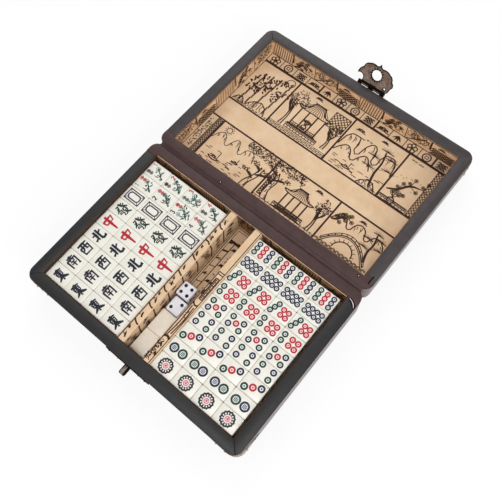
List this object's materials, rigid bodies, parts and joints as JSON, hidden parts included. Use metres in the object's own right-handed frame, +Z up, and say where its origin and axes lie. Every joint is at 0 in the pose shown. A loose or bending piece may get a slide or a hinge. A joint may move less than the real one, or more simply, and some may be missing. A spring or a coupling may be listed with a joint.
{
  "type": "travel mahjong case",
  "caption": "Book-style hinged case lying open flat: a divided tray packed with tiles, dice and spares, and a shallower lid tray with a hasp that drops over a staple.",
  "frame": {"origin": "centre of the base tray's bottom face", "axes": "+X along the hinge, +Y from the base towards the open lid, +Z up"},
  "size_m": [0.2188, 0.3294, 0.0413],
  "materials": {
    "leatherette": "satin, embossed grain",
    "hinge_leather": "satin, embossed grain",
    "rim_trim": "matt, fine grain",
    "printed_lining": "matt, line print",
    "board": "raw fibreboard",
    "bronze_fittings": "antiqued, brushed",
    "tile_resin": "polished",
    "die_resin": "polished"
  },
  "bodies": {
    "base": {"base_corner_guards": "bronze_fittings", "base_floor_board": "board", "base_floor_lining": "printed_lining", "base_floor_skin": "leatherette", "base_front_rim": "rim_trim", "base_front_wall": "board", "base_hinge_leather": "hinge_leather", "base_left_wall": "board", "base_nails": "bronze_fittings", "base_rear_wall": "board", "base_right_wall": "board", "base_side_rims": "rim_trim", "base_wall_lining": "printed_lining", "base_wall_skin": "leatherette", "catch_plate": "bronze_fittings", "catch_staple": "bronze_fittings", "divider_cores": "board", "divider_sleeves": "printed_lining", "lower_tiles_bamboos": "tile_resin", "lower_tiles_characters": "tile_resin"},
    "lid": {"latch_leaf": "bronze_fittings", "latch_pin": "bronze_fittings", "lid_corner_guards": "bronze_fittings", "lid_front_rim": "rim_trim", "lid_front_wall": "board", "lid_hinge_leather": "hinge_leather", "lid_left_wall": "board", "lid_nails": "bronze_fittings", "lid_rear_wall": "board", "lid_right_wall": "board", "lid_side_rims": "rim_trim", "lid_top_board": "board", "lid_top_lining": "printed_lining", "lid_top_skin": "leatherette", "lid_wall_lining": "printed_lining", "lid_wall_skin": "leatherette"},
    "hasp": {"latch_hasp": "bronze_fittings"},
    "tiles_east_wind": {"tiles_east_wind": "tile_resin"},
    "tiles_south_wind": {"tiles_south_wind": "tile_resin"},
    "tiles_west_wind": {"tiles_west_wind": "tile_resin"},
    "tiles_north_wind": {"tiles_north_wind": "tile_resin"},
    "tiles_red_dragon": {"tiles_red_dragon": "tile_resin"},
    "tiles_green_dragon": {"tiles_green_dragon": "tile_resin"},
    "tiles_white_dragon": {"tiles_white_dragon": "tile_resin"},
    "tiles_flowers": {"tiles_flowers": "tile_resin"},
    "tiles_seasons": {"tiles_seasons": "tile_resin"},
    "tiles_dots_1": {"tiles_dots_1": "tile_resin"},
    "tiles_dots_2": {"tiles_dots_2": "tile_resin"},
    "tiles_dots_3": {"tiles_dots_3": "tile_resin"},
    "tiles_dots_4": {"tiles_dots_4": "tile_resin"},
    "tiles_dots_5": {"tiles_dots_5": "tile_resin"},
    "tiles_dots_6": {"tiles_dots_6": "tile_resin"},
    "tiles_dots_7": {"tiles_dots_7": "tile_resin"},
    "tiles_dots_8": {"tiles_dots_8": "tile_resin"},
    "tiles_dots_9": {"tiles_dots_9": "tile_resin"},
    "spare_tile_front": {"spare_tile_front": "tile_resin"},
    "spare_tile_rear": {"spare_tile_rear": "tile_resin"},
    "die_front": {"die_front": "die_resin"},
    "die_rear": {"die_rear": "die_resin"}
  },
  "joints": [
    {"name": "lid_hinge", "type": "hinge", "parent": "base", "child": "lid", "pos_m": [0, 0.0772, 0.02775], "axis": [1, 0, 0], "range_deg": [0, 182.17]},
    {"name": "hasp_swing", "type": "hinge", "parent": "lid", "child": "hasp", "pos_m": [0.0015, 0.23326, 0.02119], "axis": [1, 0, 0], "range_deg": [-110, 26]},
    {"name": "tiles_east_wind_lift", "type": "slide", "parent": "base", "child": "tiles_east_wind", "axis": [0, 0, 1], "range_m": [0, 0.016]},
    {"name": "tiles_south_wind_lift", "type": "slide", "parent": "base", "child": "tiles_south_wind", "axis": [0, 0, 1], "range_m": [0, 0.016]},
    {"name": "tiles_west_wind_lift", "type": "slide", "parent": "base", "child": "tiles_west_wind", "axis": [0, 0, 1], "range_m": [0, 0.016]},
    {"name": "tiles_north_wind_lift", "type": "slide", "parent": "base", "child": "tiles_north_wind", "axis": [0, 0, 1], "range_m": [0, 0.016]},
    {"name": "tiles_red_dragon_lift", "type": "slide", "parent": "base", "child": "tiles_red_dragon", "axis": [0, 0, 1], "range_m": [0, 0.016]},
    {"name": "tiles_green_dragon_lift", "type": "slide", "parent": "base", "child": "tiles_green_dragon", "axis": [0, 0, 1], "range_m": [0, 0.016]},
    {"name": "tiles_white_dragon_lift", "type": "slide", "parent": "base", "child": "tiles_white_dragon", "axis": [0, 0, 1], "range_m": [0, 0.016]},
    {"name": "tiles_flowers_lift", "type": "slide", "parent": "base", "child": "tiles_flowers", "axis": [0, 0, 1], "range_m": [0, 0.016]},
    {"name": "tiles_seasons_lift", "type": "slide", "parent": "base", "child": "tiles_seasons", "axis": [0, 0, 1], "range_m": [0, 0.016]},
    {"name": "tiles_dots_1_lift", "type": "slide", "parent": "base", "child": "tiles_dots_1", "axis": [0, 0, 1], "range_m": [0, 0.016]},
    {"name": "tiles_dots_2_lift", "type": "slide", "parent": "base", "child": "tiles_dots_2", "axis": [0, 0, 1], "range_m": [0, 0.016]},
    {"name": "tiles_dots_3_lift", "type": "slide", "parent": "base", "child": "tiles_dots_3", "axis": [0, 0, 1], "range_m": [0, 0.016]},
    {"name": "tiles_dots_4_lift", "type": "slide", "parent": "base", "child": "tiles_dots_4", "axis": [0, 0, 1], "range_m": [0, 0.016]},
    {"name": "tiles_dots_5_lift", "type": "slide", "parent": "base", "child": "tiles_dots_5", "axis": [0, 0, 1], "range_m": [0, 0.016]},
    {"name": "tiles_dots_6_lift", "type": "slide", "parent": "base", "child": "tiles_dots_6", "axis": [0, 0, 1], "range_m": [0, 0.016]},
    {"name": "tiles_dots_7_lift", "type": "slide", "parent": "base", "child": "tiles_dots_7", "axis": [0, 0, 1], "range_m": [0, 0.016]},
    {"name": "tiles_dots_8_lift", "type": "slide", "parent": "base", "child": "tiles_dots_8", "axis": [0, 0, 1], "range_m": [0, 0.016]},
    {"name": "tiles_dots_9_lift", "type": "slide", "parent": "base", "child": "tiles_dots_9", "axis": [0, 0, 1], "range_m": [0, 0.016]},
    {"name": "spare_tile_front_lift", "type": "slide", "parent": "base", "child": "spare_tile_front", "axis": [0, 0, 1], "range_m": [0, 0.0245]},
    {"name": "spare_tile_rear_lift", "type": "slide", "parent": "base", "child": "spare_tile_rear", "axis": [0, 0, 1], "range_m": [0, 0.0245]},
    {"name": "die_front_lift", "type": "slide", "parent": "base", "child": "die_front", "axis": [0, 0, 1], "range_m": [0, 0.0245]},
    {"name": "die_rear_lift", "type": "slide", "parent": "base", "child": "die_rear", "axis": [0, 0, 1], "range_m": [0, 0.0245]}
  ]
}
